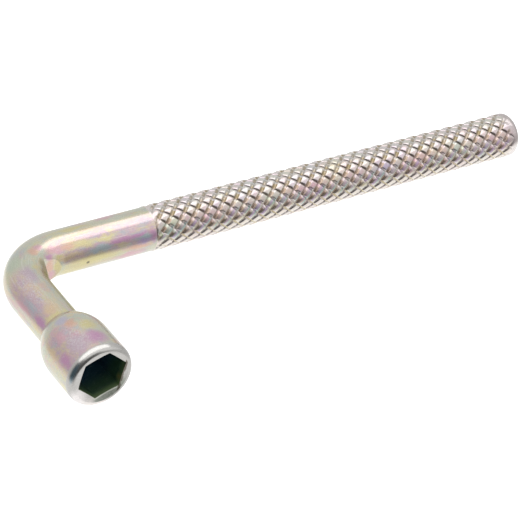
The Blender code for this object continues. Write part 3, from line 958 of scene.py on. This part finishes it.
# Painted reflection of the white table: the handle's end paler on its lower front.
end_table_light = both(knurl_tree, rows(END_TABLE_LIGHT_BELOW), sides(END_TABLE_LIGHT_SIDE))
end_tone = blend(knurl_tree, end_table_light, END_TONE, END_TABLE_LIGHT_TONE)
end_edge = [HANDLE_LENGTH / MM - length for length in END_FILM]
end_film = fade(knurl_tree, knurl_parts["X"], *end_edge, 0.0, END_FILM_SHARE)
knurl_colour = blend(knurl_tree, end_film, knurl_colour, end_tone)
plated(knurl_tree, knurl_place, knurl_grain, knurl_colour, KNURL_ROUGH, KNURL_METAL)
knurled_handle = piece_from("knurled_bar", handle_mesh, knurl_finish)
set_down(knurled_handle, KNURL_CREASE)
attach(knurled_handle, "root")
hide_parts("knurled_handle")

# The floor and the light: a white light table inside a white light tent, with a bright soft panel
# overhead and the tent's dark opening on the side that the wrench is seen from. The table glows, and
# mirror reflections see the tent's light from below in its place.
FLOOR_SIZE = 6.0
FLOOR_GLOW = 1.1
FLOOR_GREY = (0.40, 0.40, 0.40, 1.0)
FLOOR_ROUGH = 0.9
WHITE = (1.0, 1.0, 1.0, 1.0)
half = FLOOR_SIZE / 2
floor_corners = [(-half, -half, 0), (half, -half, 0), (half, half, 0), (-half, half, 0)]
floor_mesh = bpy.data.meshes.new("floor")
floor_mesh.from_pydata(floor_corners, [], [(0, 1, 2, 3)])
floor = bpy.data.objects.new("floor", floor_mesh)
bpy.context.collection.objects.link(floor)
floor_white = bpy.data.materials.new("floor_white")
floor_white.use_nodes = True
floor_shader = floor_white.node_tree.nodes["Principled BSDF"]
floor_shader.inputs["Base Color"].default_value = FLOOR_GREY
floor_shader.inputs["Roughness"].default_value = FLOOR_ROUGH
floor_shader.inputs["Specular IOR Level"].default_value = 0.0
floor_shader.inputs["Emission Color"].default_value = WHITE
floor_shader.inputs["Emission Strength"].default_value = FLOOR_GLOW
floor_mesh.materials.append(floor_white)
floor.visible_glossy = False

PANEL_HEIGHT = 0.8
PANEL_SIZE = (1.92, 0.69)
PANEL_SHIFT = (-0.24, 0.225)
PANEL_RADIANCE = 1.18
panel = bpy.data.objects.new("soft_panel", bpy.data.lights.new("soft_panel", "AREA"))
bpy.context.collection.objects.link(panel)
panel.location = (*PANEL_SHIFT, PANEL_HEIGHT)
panel.data.shape = "RECTANGLE"
panel.data.size, panel.data.size_y = PANEL_SIZE
panel.data.energy = PANEL_RADIANCE * math.pi * PANEL_SIZE[0] * PANEL_SIZE[1]

OPENING = Vector((-0.66, -0.75, 0.0))
OPENING_EDGE = (0.15, 0.75)
OPENING_TOP = (0.95, 0.45)
OPENING_GLOW = 0.15
ROOF_EDGE = (0.2, -0.4)
ROOF_GLOW = (0.86, 1.18)
ROOF_RISE = (0.0, 0.6)
WALL_EDGE = (0.5, 0.85)
WALL_GLOW = (0.72, 0.80)
TABLE_EDGE = (-0.25, -0.55)
TABLE_GLOW = 1.15
BACKDROP_GLOW = 1.2
JUST_OVER_ONE = 1.0001
tent = bpy.data.worlds.new("light_tent")
bpy.context.scene.world = tent
tent.use_nodes = True
tent_tree = tent.node_tree
ray = add(tent_tree, "ShaderNodeTexCoord").outputs["Generated"]
ray_parts = parts(tent_tree, ray)
rise = ray_parts["Z"]
level = maths(tent_tree, "SUBTRACT", JUST_OVER_ONE, maths(tent_tree, "MULTIPLY", rise, rise))
level = maths(tent_tree, "SQRT", level)
towards = maths(tent_tree, "DIVIDE", along_direction(tent_tree, ray, OPENING), level)
opening = both(tent_tree, fade(tent_tree, towards, *OPENING_EDGE), fade(tent_tree, rise, *OPENING_TOP))
roof = fade(tent_tree, ray_parts["Y"], *ROOF_EDGE, *ROOF_GLOW)
wall = fade(tent_tree, ray_parts["Y"], *WALL_EDGE, *WALL_GLOW)
lift = fade(tent_tree, rise, *ROOF_RISE)
glow = maths(tent_tree, "MULTIPLY_ADD", lift, maths(tent_tree, "SUBTRACT", roof, wall), wall)
glow = maths(tent_tree, "MULTIPLY", glow, fade(tent_tree, opening, 0.0, 1.0, 1.0, OPENING_GLOW))
table_light = fade(tent_tree, rise, *TABLE_EDGE)
glow = maths(tent_tree, "MULTIPLY_ADD", table_light, maths(tent_tree, "SUBTRACT", TABLE_GLOW, glow), glow)
seen = add(tent_tree, "ShaderNodeLightPath").outputs["Is Camera Ray"]
glow = maths(tent_tree, "MAXIMUM", glow, maths(tent_tree, "MULTIPLY", seen, BACKDROP_GLOW))
backdrop = tent_tree.nodes["Background"]
backdrop.inputs["Color"].default_value = WHITE
tent_tree.links.new(glow, backdrop.inputs["Strength"])
bpy.context.scene.view_settings.view_transform = "Standard"

# The camera: a long lens that looks down on the wrench from beyond the elbow.
PICTURE_MIDDLE = Vector((-7.98, 0.14, 4.12)) * MM
CAMERA_DISTANCE = 509.0 * MM
CAMERA_AZIMUTH = math.radians(38.484)
CAMERA_ELEVATION = math.radians(39.269)
CAMERA_ROLL = math.radians(11.269)
CAMERA_LENS = 200.643
CAMERA_SENSOR = 36.0
CAMERA_NEAR = 0.01
camera = bpy.data.objects.new("camera", bpy.data.cameras.new("camera"))
bpy.context.collection.objects.link(camera)
camera.data.lens = CAMERA_LENS
camera.data.sensor_width = CAMERA_SENSOR
camera.data.clip_start = CAMERA_NEAR
look = Matrix.Rotation(-CAMERA_AZIMUTH, 4, "Z") @ Matrix.Rotation(math.pi / 2 - CAMERA_ELEVATION, 4, "X")
look = look @ Matrix.Rotation(CAMERA_ROLL, 4, "Z")
stand_back = Matrix.Translation((0, 0, CAMERA_DISTANCE))
camera.matrix_world = Matrix.Translation(PICTURE_MIDDLE) @ look @ stand_back
bpy.context.scene.camera = camera
